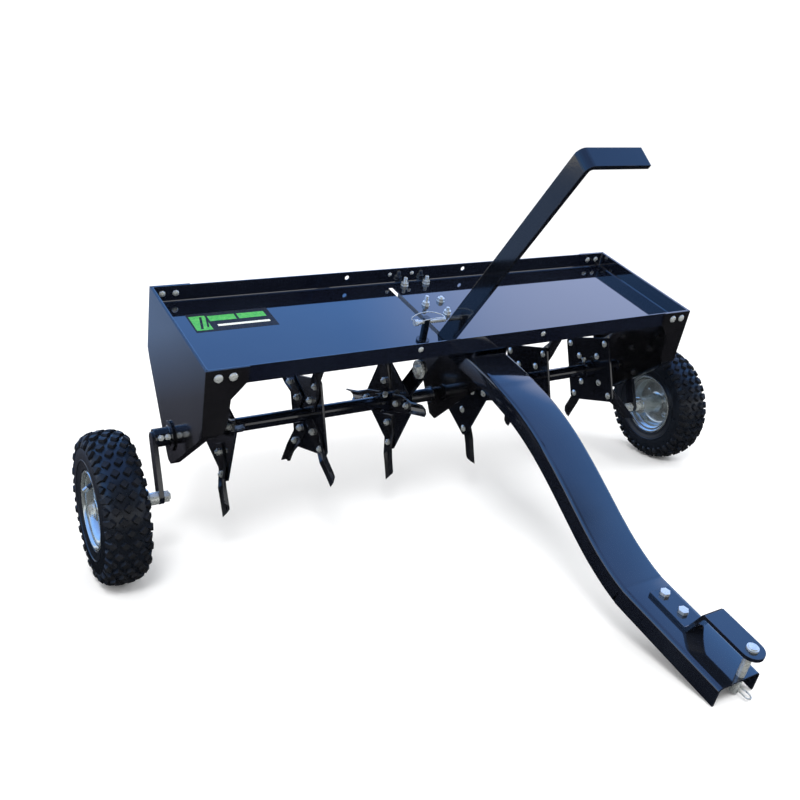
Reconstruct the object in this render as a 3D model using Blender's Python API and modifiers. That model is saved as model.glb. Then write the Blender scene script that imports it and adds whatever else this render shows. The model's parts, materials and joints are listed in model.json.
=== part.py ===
"""Tow-behind core aerator: weight tray on two end panels, star rotors below it,
two wheels on cranked arms raised and lowered by one lever, and a drawbar.

Machine frame: +X across the machine, -Y towards the tractor, +Z up, origin at the
middle of the tray's rim. The machine stands on its wheels and the drawbar's front
end, so its frame leans nose-down on the floor.
"""
from math import asin, atan2, cos, hypot, pi, radians, sin

import bmesh
import bpy
from mathutils import Matrix, Vector

# ---------------------------------------------------------------- dimensions (m)
GAP = 0.0003              # clearance between touching pieces
SHEET = 0.0025            # tray and panel sheet

TRAY_WIDTH = 1.0100
TRAY_DEPTH = 0.2830
TRAY_WALL = 0.0305        # rim to deck
LEVER_SLOT_X = -0.0475
LEVER_SLOT = (-0.129, 0.122)
LEVER_SLOT_HALF = 0.0052

PANEL_X = 0.5080          # outer face of an end panel
PANEL_HALF_DEPTH = 0.1443
PANEL_SHOULDER_Z = -0.1180
PANEL_TIP_Z = -0.2650
PANEL_TIP_HALF = 0.0100

AXLE_Z = -0.2115          # lift axle and rotor axis
AXLE_R = 0.0079
AXLE_HALF = 0.5330
TUBE_R = 0.0127
TUBE_BORE = 0.0085

STAR_X = (-0.4233, -0.2540, -0.0847, 0.0847, 0.2540, 0.4233)
STAR_PHASE = (54.0, 19.0, 64.0, 64.0, 19.0, 17.0)
STAR_HUB_SIDE = (1, 1, -1, -1, 1, -1)
STAR_HALF_DIAGONAL = 0.0985
STAR_THICK = 0.0040
HUB_R = 0.0180
HUB_LENGTH = 0.0220

TINE_ROOT = 0.0260
TINE_TIP = 0.1550
TINE_WIDTH = 0.0340
TINE_THICK = 0.0032
TINE_ROLL_R = 0.0115
TINE_SLANT = 0.0240

CRANK_LENGTH = 0.1010
CRANK_LEAN = 30.0         # degrees forward of straight down
CRANK_X = 0.5375
CRANK_THICK = 0.0080
CRANK_WIDTH = 0.0230
BOSS_R = 0.0160

WHEEL_X = 0.6180
TYRE_R = 0.1280
TYRE_HALF_WIDTH = 0.0370
HUB_INNER = 0.0600        # wheel's middle plane to its hub's inner end
HUB_OUTER = 0.0260

LEVER_LEAN = 29.5         # degrees forward of upright
LEVER_OFFSET = 0.0120     # bar's middle line behind the axle
LEVER_WIDTH = 0.0340
LEVER_THICK = 0.0080
LEVER_TOP = 0.6925
GRIP_END_X = 0.0670

LOCK_X, LOCK_Y, LOCK_Z = -0.0915, -0.0840, 0.0080

TONGUE_X = 0.0250
TONGUE_HALF = 0.0415
TONGUE_DEPTH = 0.0350
TONGUE_PATH = ((0.138, -0.0490), (-0.170, -0.0490), (-0.235, -0.0520), (-0.280, -0.0570),
               (-0.320, -0.0650), (-0.360, -0.0765), (-0.400, -0.0915), (-0.437, -0.1075),
               (-0.475, -0.1250), (-0.510, -0.1410), (-0.545, -0.1550), (-0.580, -0.1655),
               (-0.610, -0.1712), (-0.638, -0.1725), (-0.820, -0.1725))
HITCH_FLAT_Z = -0.1725
HITCH_PIN_Y = -0.8120
STRAP_X = 0.0330
STRAP_HALF = 0.0190
STRAP_THICK = 0.0060
DRAWBAR_GAP = 0.0435      # channel to the strap's raised end
HITCH_BOLT_Y = (-0.652, -0.692)

ORIGIN_Y = 0.27456        # world position of the machine frame, set for a centred base


# ---------------------------------------------------------------- scene helpers
def clear_scene():
    for obj in list(bpy.data.objects):
        bpy.data.objects.remove(obj, do_unlink=True)


def make_collection(name):
    coll = bpy.data.collections.new(name)
    bpy.context.scene.collection.children.link(coll)
    return coll


def material(name, colour, roughness, metallic):
    mat = bpy.data.materials.new(name)
    mat.use_nodes = True
    shader = mat.node_tree.nodes["Principled BSDF"]
    shader.inputs["Base Color"].default_value = (*colour, 1.0)
    shader.inputs["Roughness"].default_value = roughness
    shader.inputs["Metallic"].default_value = metallic
    return mat


clear_scene()
PARTS = make_collection("core_aerator")
CUTTERS = make_collection("cutters")
LOOKS = {
    "black": ((0.012, 0.014, 0.022), 0.22, 0.0),
    "zinc": ((0.62, 0.66, 0.68), 0.28, 1.0),
    "rubber": ((0.022, 0.021, 0.021), 0.75, 0.0),
}


def empty(name, parent, location):
    obj = bpy.data.objects.new(name, None)
    obj.parent = parent
    obj.location = location
    PARTS.objects.link(obj)
    return obj


def to_object(name, bm, look, parent, at=(0, 0, 0), smooth=True):
    """A named node from a bmesh, with its own material."""
    mesh = bpy.data.meshes.new(name)
    bmesh.ops.recalc_face_normals(bm, faces=bm.faces)
    bm.to_mesh(mesh)
    bm.free()
    return place(name, mesh, look, parent, at, smooth)


def place(name, mesh, look, parent, at=(0, 0, 0), smooth=True):
    obj = bpy.data.objects.new(name, mesh)
    obj.parent = parent
    obj.location = at
    PARTS.objects.link(obj)
    if smooth:
        mesh.shade_smooth()
        mesh.set_sharp_from_angle(angle=radians(35))
    colour, roughness, metallic = LOOKS[look]
    mesh.materials.clear()
    mesh.materials.append(material(name, colour, roughness, metallic))
    return obj


def tool(name, bm, parent, at=(0, 0, 0)):
    """A hidden operand for a Boolean."""
    mesh = bpy.data.meshes.new(name)
    bmesh.ops.recalc_face_normals(bm, faces=bm.faces)
    bm.to_mesh(mesh)
    bm.free()
    obj = bpy.data.objects.new(name, mesh)
    obj.parent = parent
    obj.location = at
    obj.hide_render = True
    obj.display_type = 'WIRE'
    CUTTERS.objects.link(obj)
    return obj


def boolean(obj, operand, operation):
    mod = obj.modifiers.new(operand.name, 'BOOLEAN')
    mod.operation = operation
    mod.solver = 'EXACT'
    mod.object = operand


def cut(obj, bm, at=(0, 0, 0)):
    name = "%s_cut_%d" % (obj.name, len(obj.modifiers))
    boolean(obj, tool(name, bm, obj.parent, at), 'DIFFERENCE')


def join(obj, bm, at=(0, 0, 0)):
    name = "%s_join_%d" % (obj.name, len(obj.modifiers))
    boolean(obj, tool(name, bm, obj.parent, at), 'UNION')


# ---------------------------------------------------------------- shape helpers
ALONG_X = Matrix.Rotation(pi / 2, 4, 'Y')
ALONG_Y = Matrix.Rotation(-pi / 2, 4, 'X')
ALONG_Z = Matrix.Identity(4)


def add_round(bm, radius, start, end, segments=16, turn=ALONG_X, across=(0, 0), spin=0.0):
    """A cylinder from start to end along the turned axis, across = its other two."""
    middle = (start + end) / 2
    if turn is ALONG_X:
        centre = (middle, across[0], across[1])
    elif turn is ALONG_Y:
        centre = (across[0], middle, across[1])
    else:
        centre = (across[0], across[1], middle)
    matrix = Matrix.Translation(centre) @ turn @ Matrix.Rotation(spin, 4, 'Z')
    bmesh.ops.create_cone(bm, cap_ends=True, segments=segments, radius1=radius,
                          radius2=radius, depth=abs(end - start), matrix=matrix)
    return bm


def rod(radius, start, end, segments=16, turn=ALONG_X, across=(0, 0), spin=0.0):
    return add_round(bmesh.new(), radius, start, end, segments, turn, across, spin)


def block(low, high):
    bm = bmesh.new()
    size = [b - a for a, b in zip(low, high)]
    centre = [(a + b) / 2 for a, b in zip(low, high)]
    matrix = Matrix.Translation(centre) @ Matrix.Diagonal((*size, 1.0))
    bmesh.ops.create_cube(bm, size=1.0, matrix=matrix)
    return bm


def plate(outline, low, high, frame):
    """A flat outline given thickness from low to high along the frame's third axis."""
    curve = bpy.data.curves.new("outline", 'CURVE')
    curve.dimensions = '2D'
    curve.fill_mode = 'BOTH'
    curve.extrude = (high - low) / 2
    spline = curve.splines.new('POLY')
    spline.points.add(len(outline) - 1)
    for point, (u, v) in zip(spline.points, outline):
        point.co = (u, v, 0.0, 1.0)
    spline.use_cyclic_u = True
    holder = bpy.data.objects.new("outline", curve)
    bpy.context.scene.collection.objects.link(holder)
    graph = bpy.context.evaluated_depsgraph_get()
    mesh = bpy.data.meshes.new_from_object(holder.evaluated_get(graph))
    bm = bmesh.new()
    bm.from_mesh(mesh)
    bpy.data.objects.remove(holder, do_unlink=True)
    bpy.data.curves.remove(curve)
    bpy.data.meshes.remove(mesh)
    bmesh.ops.remove_doubles(bm, verts=bm.verts, dist=0.00001)
    bmesh.ops.translate(bm, verts=bm.verts, vec=(0, 0, (low + high) / 2))
    bmesh.ops.transform(bm, verts=bm.verts, matrix=frame)
    bmesh.ops.recalc_face_normals(bm, faces=bm.faces)
    return bm


# first and second outline axes, then thickness
YZ_X = Matrix(((0, 0, 1, 0), (1, 0, 0, 0), (0, 1, 0, 0), (0, 0, 0, 1)))
XZ_Y = Matrix(((1, 0, 0, 0), (0, 0, -1, 0), (0, 1, 0, 0), (0, 0, 0, 1)))
XY_Z = Matrix.Identity(4)


def arc(centre, radius, first, last, count):
    points = []
    for i in range(count + 1):
        a = radians(first + (last - first) * i / count)
        points.append((centre[0] + radius * cos(a), centre[1] + radius * sin(a)))
    return points


def sheet(name, rows, look, parent, thick, offset, at=(0, 0, 0)):
    """A grid of points made into a sheet of even thickness."""
    across = len(rows[0])
    bm = bmesh.new()
    bmesh.ops.create_grid(bm, x_segments=across - 1, y_segments=len(rows) - 1, size=1.0)
    bm.verts.ensure_lookup_table()
    ordered = sorted(bm.verts, key=lambda v: (round(v.co.y, 4), round(v.co.x, 4)))
    for index, vert in enumerate(ordered):
        vert.co = rows[index // across][index % across]
    mesh = bpy.data.meshes.new(name)
    bm.to_mesh(mesh)
    bm.free()
    obj = place(name, mesh, look, parent, at)
    mod = obj.modifiers.new("thickness", 'SOLIDIFY')
    mod.thickness = thick
    mod.offset = offset
    mod.use_even_offset = True
    return obj


def turned(name, profile, steps, look, parent, at=(0, 0, 0)):
    """A closed profile of (x, radius) points turned about X."""
    following = profile[1:] + profile[:1]
    area = sum(a[0] * b[1] - b[0] * a[1] for a, b in zip(profile, following))
    if area < 0:
        profile = profile[::-1]
    mesh = bpy.data.meshes.new(name)
    bm = bmesh.new()
    verts = [bm.verts.new((x, 0.0, r)) for x, r in profile]
    for a, b in zip(verts, verts[1:] + verts[:1]):
        bm.edges.new((a, b))
    bm.to_mesh(mesh)
    bm.free()
    obj = place(name, mesh, look, parent, at, smooth=False)
    mod = obj.modifiers.new("turn", 'SCREW')
    mod.axis = 'X'
    mod.steps = steps
    mod.render_steps = steps
    mod.use_merge_vertices = True
    mod.merge_threshold = 0.00005
    mod.use_smooth_shade = True
    return obj


def wire(name, points, radius, look, parent, at=(0, 0, 0)):
    curve = bpy.data.curves.new(name, 'CURVE')
    curve.dimensions = '3D'
    curve.bevel_depth = radius
    curve.bevel_resolution = 2
    curve.use_fill_caps = True
    spline = curve.splines.new('POLY')
    spline.points.add(len(points) - 1)
    for point, co in zip(spline.points, points):
        point.co = (*co, 1.0)
    obj = bpy.data.objects.new(name, curve)
    obj.parent = parent
    obj.location = at
    PARTS.objects.link(obj)
    colour, roughness, metallic = LOOKS[look]
    curve.materials.append(material(name, colour, roughness, metallic))
    return obj


# ---------------------------------------------------------------- standing pose
def crank_vector():
    lean = radians(CRANK_LEAN)
    return Vector((0.0, -CRANK_LENGTH * sin(lean), -CRANK_LENGTH * cos(lean)))


def standing_pitch():
    """Nose-down angle at which the tyres and the drawbar's lower corner touch."""
    wheel = Vector((0.0, 0.0, AXLE_Z)) + crank_vector()
    toe = Vector((0.0, TONGUE_PATH[-1][0], HITCH_FLAT_Z - TONGUE_DEPTH))
    reach = wheel.y - toe.y
    rise = wheel.z - toe.z
    span = hypot(reach, rise)
    pitch = asin(TYRE_R / span) - atan2(rise, reach)
    floor = toe.y * sin(pitch) + toe.z * cos(pitch)
    return pitch, -floor


def machine_frame():
    pitch, lift = standing_pitch()
    frame = empty("machine_frame", None, (0.0, ORIGIN_Y, lift))
    frame.rotation_euler = (pitch, 0.0, 0.0)
    return frame


# ---------------------------------------------------------------- frame pieces
def weight_tray(parent):
    half_x, half_y = TRAY_WIDTH / 2, TRAY_DEPTH / 2
    bm = block((-half_x, -half_y, -TRAY_WALL - 0.002), (half_x, half_y, 0.0))
    lid = [f for f in bm.faces if f.calc_center_median().z > -0.001]
    bmesh.ops.delete(bm, geom=lid, context='FACES_ONLY')
    bends = [e for e in bm.edges if not e.is_boundary]
    bmesh.ops.bevel(bm, geom=bends, offset=0.004, segments=2, profile=0.5, affect='EDGES')
    tray = to_object("weight_tray", bm, "black", parent)
    wall = tray.modifiers.new("sheet", 'SOLIDIFY')
    wall.thickness = 0.002
    wall.offset = -1.0
    wall.use_even_offset = True
    low, high = LEVER_SLOT
    cut(tray, block((LEVER_SLOT_X - LEVER_SLOT_HALF, low, -0.05), (LEVER_SLOT_X + LEVER_SLOT_HALF, high, -0.01)))
    for x in (-0.1350, 0.1290):
        cut(tray, rod(0.0045, 0.12, 0.16, 16, ALONG_Y, (x, -0.0115)))
    return tray


def panel_outline():
    """Side view (y, z) of an end panel from its top front corner down and round,
    with the width of the bent edge at each corner."""
    d = PANEL_HALF_DEPTH - SHEET / 2
    tip = PANEL_TIP_HALF
    front = [(-d, 0.0, 0.068), (-d, -0.026, 0.068), (-d, -0.056, 0.042),
             (-d, -0.100, 0.040), (-d, PANEL_SHOULDER_Z, 0.034)]
    slope = [(-d + 0.012, PANEL_SHOULDER_Z - 0.016, 0.014), (-tip - 0.004, PANEL_TIP_Z + 0.006, 0.012)]
    bottom = [(-tip + 0.004, PANEL_TIP_Z, 0.012)]
    half = front + slope + bottom
    return half + [(-y, z, w) for y, z, w in reversed(half)]


def end_panel(name, side, parent):
    outline = panel_outline()
    x = PANEL_X - SHEET / 2
    bm = bmesh.new()
    rim = [bm.verts.new((side * x, y, z)) for y, z, w in outline]
    bm.faces.new(rim)
    inner = [bm.verts.new((side * (x - w), y, z)) for y, z, w in outline]
    for i in range(len(outline) - 1):
        bm.faces.new((rim[i], inner[i], inner[i + 1], rim[i + 1]))
    bm.normal_update()
    panel = to_object(name, bm, "black", parent)
    mod = panel.modifiers.new("sheet", 'SOLIDIFY')
    mod.thickness = SHEET
    mod.offset = 0.0
    mod.use_even_offset = True
    cut(panel, rod(0.0083, side * 0.45, side * 0.55, 20, ALONG_X, (0.0, AXLE_Z)))
    return panel


def bearing(name, side, parent):
    low = PANEL_X + GAP
    profile = [(side * x, r) for x, r in (
        (low, 0.0083), (low, 0.0260), (low + 0.0030, 0.0270), (low + 0.0040, 0.0190),
        (low + 0.0052, 0.0175), (low + 0.0052, 0.0083))]
    return turned(name, profile, 20, "black", parent, (0, 0, AXLE_Z))


def centre_hanger(parent):
    top = -0.0523
    half = 0.1280
    tip = PANEL_TIP_HALF
    outline = [(-half, top), (-half, PANEL_SHOULDER_Z), (-tip, PANEL_TIP_Z),
               (tip, PANEL_TIP_Z), (half, PANEL_SHOULDER_Z), (half, top)]
    hanger = to_object("centre_hanger", plate(outline, 0.0235, 0.0265, YZ_X), "black", parent)
    join(hanger, block((0.0240, -half, top - 0.003), (0.0520, half, top)))
    join(hanger, rod(0.0125, 0.0108, 0.0250, 24, ALONG_X, (0.0, AXLE_Z)))
    cut(hanger, rod(0.0083, 0.0, 0.04, 24, ALONG_X, (0.0, AXLE_Z)))
    return hanger


def tongue_riser(parent):
    low, high = -0.0487, -0.0328
    left, right = TONGUE_X - 0.036, TONGUE_X + 0.036
    t = 0.003
    outline = [(left, high), (left, low), (right, low), (right, high),
               (right - t, high), (right - t, low + t), (left + t, low + t), (left + t, high)]
    return to_object("tongue_riser", plate(outline, -0.136, 0.136, XZ_Y), "black", parent)


def tongue(parent):
    """Channel with its open side down, its section carried along the side view."""
    bend, t = 0.006, 0.003
    half = TONGUE_HALF
    section = [(-half, TONGUE_DEPTH)]
    section += [(-half, bend), (-half + bend * 0.293, bend * 0.293), (-half + bend, 0.0)]
    section = section + [(-x, d) for x, d in reversed(section)]
    rows = []
    count = len(TONGUE_PATH)
    for i, (y, z) in enumerate(TONGUE_PATH):
        a = TONGUE_PATH[max(i - 1, 0)]
        b = TONGUE_PATH[min(i + 1, count - 1)]
        along = Vector((0.0, b[0] - a[0], b[1] - a[1])).normalized()
        if i == count - 1:
            along = Vector((0.0, -1.0, 0.0))
        down = Vector((0.0, -along.z, along.y))
        if down.z > 0:
            down = -down
        start = Vector((TONGUE_X, y, z))
        rows.append([start + Vector((x, 0, 0)) + down * d for x, d in section])
    obj = sheet("tongue", rows, "black", parent, t, 1.0)
    for y in HITCH_BOLT_Y:
        cut(obj, rod(0.0048, -0.19, -0.15, 16, ALONG_Z, (STRAP_X, y)))
    cut(obj, rod(0.0068, -0.19, -0.15, 20, ALONG_Z, (STRAP_X, HITCH_PIN_Y)))
    return obj


def strap_end_cutter():
    """Everything outside a half circle about the hitch pin."""
    x, y, r = STRAP_X, HITCH_PIN_Y, STRAP_HALF - 0.0001
    far = STRAP_HALF + 0.010
    outline = arc((x, y), r, 180, 360, 16)
    outline += [(x + far, y), (x + far, y - far), (x - far, y - far), (x - far, y)]
    return plate(outline, -0.2, -0.1, XY_Z)


def hitch_strap(parent):
    """Bolted to the channel, then bent up and over the tractor's drawbar."""
    low = HITCH_FLAT_Z + GAP
    upper = low + DRAWBAR_GAP
    t = STRAP_THICK
    tip = HITCH_PIN_Y - STRAP_HALF - 0.002
    under = [(-0.6400, low), (-0.7200, low), (-0.7225, low + 0.0025), (-0.7387, upper - 0.0030),
             (-0.7412, upper), (tip, upper)]
    over = [(tip, upper + t), (-0.7385, upper + t), (-0.7350, upper + 0.0035),
            (-0.7190, low + t + 0.0035), (-0.7155, low + t), (-0.6400, low + t)]
    strap = to_object("hitch_strap", plate(under + over, STRAP_X - STRAP_HALF,
                                           STRAP_X + STRAP_HALF, YZ_X), "black", parent)
    cut(strap, strap_end_cutter())
    for y in HITCH_BOLT_Y:
        cut(strap, rod(0.0048, -0.19, -0.15, 16, ALONG_Z, (STRAP_X, y)))
    cut(strap, rod(0.0068, upper - 0.02, upper + 0.02, 20, ALONG_Z, (STRAP_X, HITCH_PIN_Y)))
    return strap


def hitch_bolt(name, y, parent):
    top = HITCH_FLAT_Z + GAP + STRAP_THICK + GAP
    under = HITCH_FLAT_Z - 0.003 - GAP
    at = (STRAP_X, y)
    bolt = to_object(name, rod(0.0045, under - 0.012, top + 0.003, 16, ALONG_Z, at), "zinc", parent)
    join(bolt, rod(0.0082, top, top + 0.0055, 6, ALONG_Z, at, 0.3))
    join(bolt, rod(0.0082, under - 0.007, under, 6, ALONG_Z, at, 0.1))
    return bolt


# ---------------------------------------------------------------- hitch pin
def hitch_pin(parent):
    head = GAP + DRAWBAR_GAP + STRAP_THICK + GAP
    pin = to_object("hitch_pin", rod(0.0063, -0.0310, head + 0.002, 20, ALONG_Z), "zinc", parent)
    join(pin, rod(0.0090, head, head + 0.0030, 24, ALONG_Z))
    join(pin, rod(0.0068, head + 0.0020, head + 0.0046, 24, ALONG_Z))
    cut(pin, rod(0.0016, -0.02, 0.02, 12, ALONG_Y, (0.0, -0.0240)))
    return pin


def hairpin_clip(parent):
    """Straight leg through the pin, bent leg around it; it pulls out forwards."""
    points = [(0.0, 0.012, 0.0), (0.0, -0.012, 0.0), (0.0, -0.020, 0.0)]
    points += [(0.005 + 0.005 * cos(a), -0.020 - 0.005 * sin(a), 0.0)
               for a in (3 * pi / 4, pi / 2, pi / 4)]
    points += [(0.010, -0.020, 0.0), (0.0095, -0.013, 0.0), (0.0082, -0.008, 0.0),
               (0.0090, 0.0, 0.0), (0.0082, 0.008, 0.0), (0.0115, 0.013, 0.0)]
    return wire("hairpin_clip", points, 0.0011, "zinc", parent)


# ---------------------------------------------------------------- lift gear
def lift_axle(parent):
    return to_object("lift_axle", rod(AXLE_R, -AXLE_HALF, AXLE_HALF, 20), "zinc", parent)


def crank(name, side, parent):
    """Flat arm from the axle to the wheel, with a boss on its inner face."""
    wheel = crank_vector()
    tilt = atan2(wheel.z, wheel.y)
    half = CRANK_WIDTH / 2
    outline = [(u, v) for u, v in arc((0, 0), half, 90, 270, 10)]
    outline += arc((CRANK_LENGTH, 0), half, -90, 90, 10)
    turn = Matrix.Rotation(tilt, 4, 'X')
    near = CRANK_X - CRANK_THICK / 2
    far = CRANK_X + CRANK_THICK / 2
    low, high = (near, far) if side > 0 else (-far, -near)
    bm = plate(outline, low, high, turn @ YZ_X)
    arm = to_object(name, bm, "black", parent)
    start = PANEL_X + GAP + 0.0052 + GAP
    join(arm, rod(BOSS_R, side * start, side * (near + 0.004), 20))
    cut(arm, rod(AXLE_R + GAP, side * (start - 0.01), side * (AXLE_HALF + 0.0006), 20))
    cut(arm, rod(0.0063, side * 0.52, side * 0.56, 20, ALONG_X, (wheel.y, wheel.z)))
    return arm


def lift_lever(parent):
    """Flat bar on edge from the axle up through the deck, bent over into a grip."""
    left = LEVER_SLOT_X - LEVER_THICK / 2
    right = LEVER_SLOT_X + LEVER_THICK / 2
    top = LEVER_TOP
    inner_r, outer_r = 0.006, 0.014
    middle = (left + outer_r, top - outer_r)
    outer = arc(middle, outer_r, 180, 90, 6)
    inner = arc(middle, inner_r, 90, 180, 6)
    outline = [(left, -0.016)] + outer + [(GRIP_END_X, top), (GRIP_END_X, top - LEVER_THICK)]
    outline += inner + [(right, -0.016)]
    turn = Matrix.Rotation(radians(90 + LEVER_LEAN), 4, 'X')
    low = -LEVER_OFFSET - LEVER_WIDTH / 2
    high = -LEVER_OFFSET + LEVER_WIDTH / 2
    lever = to_object("lift_lever", plate(outline, low, high, turn), "black", parent)
    join(lever, rod(0.0200, left, right, 28))
    cut(lever, rod(AXLE_R + GAP, left - 0.01, right + 0.01, 20))
    spot = lever_point(0.094, 0.012)
    cut(lever, rod(0.0056, left - 0.01, right + 0.01, 16, ALONG_X, (spot.y, spot.z)))
    return lever


def lever_point(along, behind):
    """A point in the lever's plane from the axle: up the bar, and behind its line."""
    lean = radians(LEVER_LEAN)
    up = Vector((0.0, -sin(lean), cos(lean)))
    back = Vector((0.0, cos(lean), sin(lean)))
    return up * along + back * behind


def lever_hub(parent):
    start = LEVER_SLOT_X + LEVER_THICK / 2 + GAP
    hub = to_object("lever_hub", rod(0.0130, start, 0.0085, 24), "zinc", parent)
    join(hub, rod(0.0165, 0.0062, 0.0102, 20))
    cut(hub, rod(AXLE_R + GAP, start - 0.01, 0.02, 20))
    return hub


def lever_bolt(parent):
    spot = lever_point(0.094, 0.012)
    at = (spot.y, spot.z)
    face = LEVER_SLOT_X - LEVER_THICK / 2 - GAP
    back = LEVER_SLOT_X + LEVER_THICK / 2 + GAP
    bolt = to_object("lever_bolt", rod(0.0050, face - 0.004, back + 0.010, 16, ALONG_X, at), "zinc", parent)
    join(bolt, rod(0.0180, face - 0.0050, face, 28, ALONG_X, at))
    join(bolt, rod(0.0095, face - 0.0110, face - 0.0045, 6, ALONG_X, at))
    join(bolt, rod(0.0090, back, back + 0.0070, 6, ALONG_X, at))
    return bolt


def lock_post(parent):
    deck = -TRAY_WALL + GAP
    at = (LOCK_X, LOCK_Y)
    post = to_object("lock_post", rod(0.0068, deck, LOCK_Z + 0.0085, 20, ALONG_Z, at), "black", parent)
    join(post, rod(0.0120, deck, deck + 0.0035, 20, ALONG_Z, at))
    cut(post, rod(0.0043, LOCK_X - 0.02, LOCK_X + 0.02, 16, ALONG_X, (LOCK_Y, LOCK_Z)))
    return post


def lock_pin(parent):
    """Slides through the post and stops short of the lever's plane."""
    tip = LEVER_SLOT_X - LEVER_THICK / 2 - 0.0006 - LOCK_X
    pin = to_object("lock_pin", rod(0.0040, -0.0220, tip, 16), "zinc", parent)
    join(pin, rod(0.0058, -0.0240, -0.0170, 16))
    return pin


def pin_bail(parent):
    """Wire loop on the pin's head that snaps over the post."""
    half = [(0.0, 0.0073, 0.0), (-0.0040, 0.0095, 0.0015), (-0.0020, 0.0115, 0.0050),
            (0.0100, 0.0125, 0.0105), (0.0300, 0.0125, 0.0125), (0.0460, 0.0095, 0.0100),
            (0.0545, 0.0050, 0.0078)]
    points = half + [(0.0565, 0.0, 0.0072)] + [(x, -y, z) for x, y, z in reversed(half)]
    return wire("pin_bail", points, 0.0010, "zinc", parent)


# ---------------------------------------------------------------- rotors
def rotor_tube(name, start, end, parent):
    tube = to_object(name, rod(TUBE_R, start, end, 20), "black", parent)
    cut(tube, rod(TUBE_BORE, start - 0.01, end + 0.01, 20))
    return tube


def star_plate(name, index, parent):
    corner = STAR_HALF_DIAGONAL
    clip = 0.005
    outline = []
    for quarter in range(4):
        a = radians(STAR_PHASE[index] + 90 * quarter)
        radial, side = Vector((cos(a), sin(a))), Vector((-sin(a), cos(a)))
        for s in (-1, 1):
            p = radial * (corner - clip) + side * (s * clip)
            outline.append((p.x, p.y))
    x = STAR_X[index]
    half = STAR_THICK / 2
    star = to_object(name, plate(outline, x - half, x + half, YZ_X), "black", parent)
    hub_side = STAR_HUB_SIDE[index]
    far = x + hub_side * (half + HUB_LENGTH)
    join(star, rod(HUB_R, x, far, 20))
    cut(star, rod(TUBE_R + GAP, x - 0.04, x + 0.04, 20))
    return star


def tine_rows():
    """Strip lying on the plate that rolls into a spoon beyond the plate's corner."""
    rows = []
    stations = (0.0, 0.36, 0.60, 0.80, 1.0)
    for v in range(5):
        share = v / 4 * 2 - 1
        a = share * TINE_WIDTH / 2
        tip = TINE_TIP - TINE_SLANT * (share + 1) / 2
        row = []
        for s in stations:
            r = TINE_ROOT + (tip - TINE_ROOT) * s
            roll = min(max((r - 0.070) / 0.035, 0.0), 1.0)
            bend = roll / TINE_ROLL_R
            if bend < 1.0:
                row.append(Vector((r, a, 0.0)))
            else:
                row.append(Vector((r, sin(bend * a) / bend, (1 - cos(bend * a)) / bend)))
        rows.append(row)
    return rows


def tine(name, index, quarter, parent):
    outward = -1 if STAR_X[index] < 0 else 1
    obj = sheet(name, tine_rows(), "black", parent, TINE_THICK, 1.0)
    a = radians(STAR_PHASE[index] + 90 * quarter)
    radial = Vector((0.0, cos(a), sin(a)))
    normal = Vector((outward, 0.0, 0.0))
    side = normal.cross(radial)
    base = Vector((STAR_X[index] + outward * (STAR_THICK / 2 + GAP), 0.0, 0.0))
    turn = Matrix((radial, side, normal)).transposed().to_4x4()
    obj.data.transform(Matrix.Translation(base) @ turn)
    return obj


# ---------------------------------------------------------------- wheels
def tyre(name, side, parent):
    w = TYRE_HALF_WIDTH
    half = [(0.0160, TYRE_R), (0.0270, TYRE_R - 0.0040), (0.0335, TYRE_R - 0.0120),
            (w, TYRE_R - 0.0330), (w - 0.0020, TYRE_R - 0.0500), (0.0316, 0.0675),
            (0.0290, 0.0640), (0.0284, 0.0585)]
    profile = half + [(-x, r) for x, r in reversed(half)]
    return turned(name, profile, 32, "rubber", parent)


def rim(name, side, parent):
    """Pressed rim, web and hub tube as one turned piece."""
    half = [(0.0030, 0.0190), (0.0030, 0.0490), (0.0150, 0.0500), (0.0265, 0.0545),
            (0.0330, 0.0630), (0.0330, 0.0662), (0.0302, 0.0640), (0.0288, 0.0575)]
    outer = [(HUB_OUTER, 0.0067), (HUB_OUTER, 0.0190)] + half
    inner = [(-x, r) for x, r in reversed(half)] + [(-HUB_INNER, 0.0190), (-HUB_INNER, 0.0067)]
    profile = [(side * x, r) for x, r in outer + inner]
    return turned(name, profile, 28, "zinc", parent)


def wheel_bolt(name, side, parent):
    """Bolt that clamps a spacer to the crank; the wheel turns on it."""
    inner = CRANK_X - CRANK_THICK / 2 - GAP
    outer = CRANK_X + CRANK_THICK / 2 + GAP
    end = WHEEL_X + HUB_OUTER + 0.0006
    wheel = crank_vector()
    at = (wheel.y, wheel.z)
    bolt = to_object(name, rod(0.0060, side * (inner - 0.012), side * (end + 0.004), 20, ALONG_X, at), "zinc", parent)
    join(bolt, rod(0.0108, side * (inner - 0.009), side * inner, 6, ALONG_X, at, 0.4))
    join(bolt, rod(0.0110, side * outer, side * (WHEEL_X - HUB_INNER - 0.0006), 20, ALONG_X, at))
    join(bolt, rod(0.0125, side * end, side * (end + 0.0020), 24, ALONG_X, at))
    join(bolt, rod(0.0100, side * (end + 0.0015), side * (end + 0.0085), 6, ALONG_X, at))
    return bolt


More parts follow.
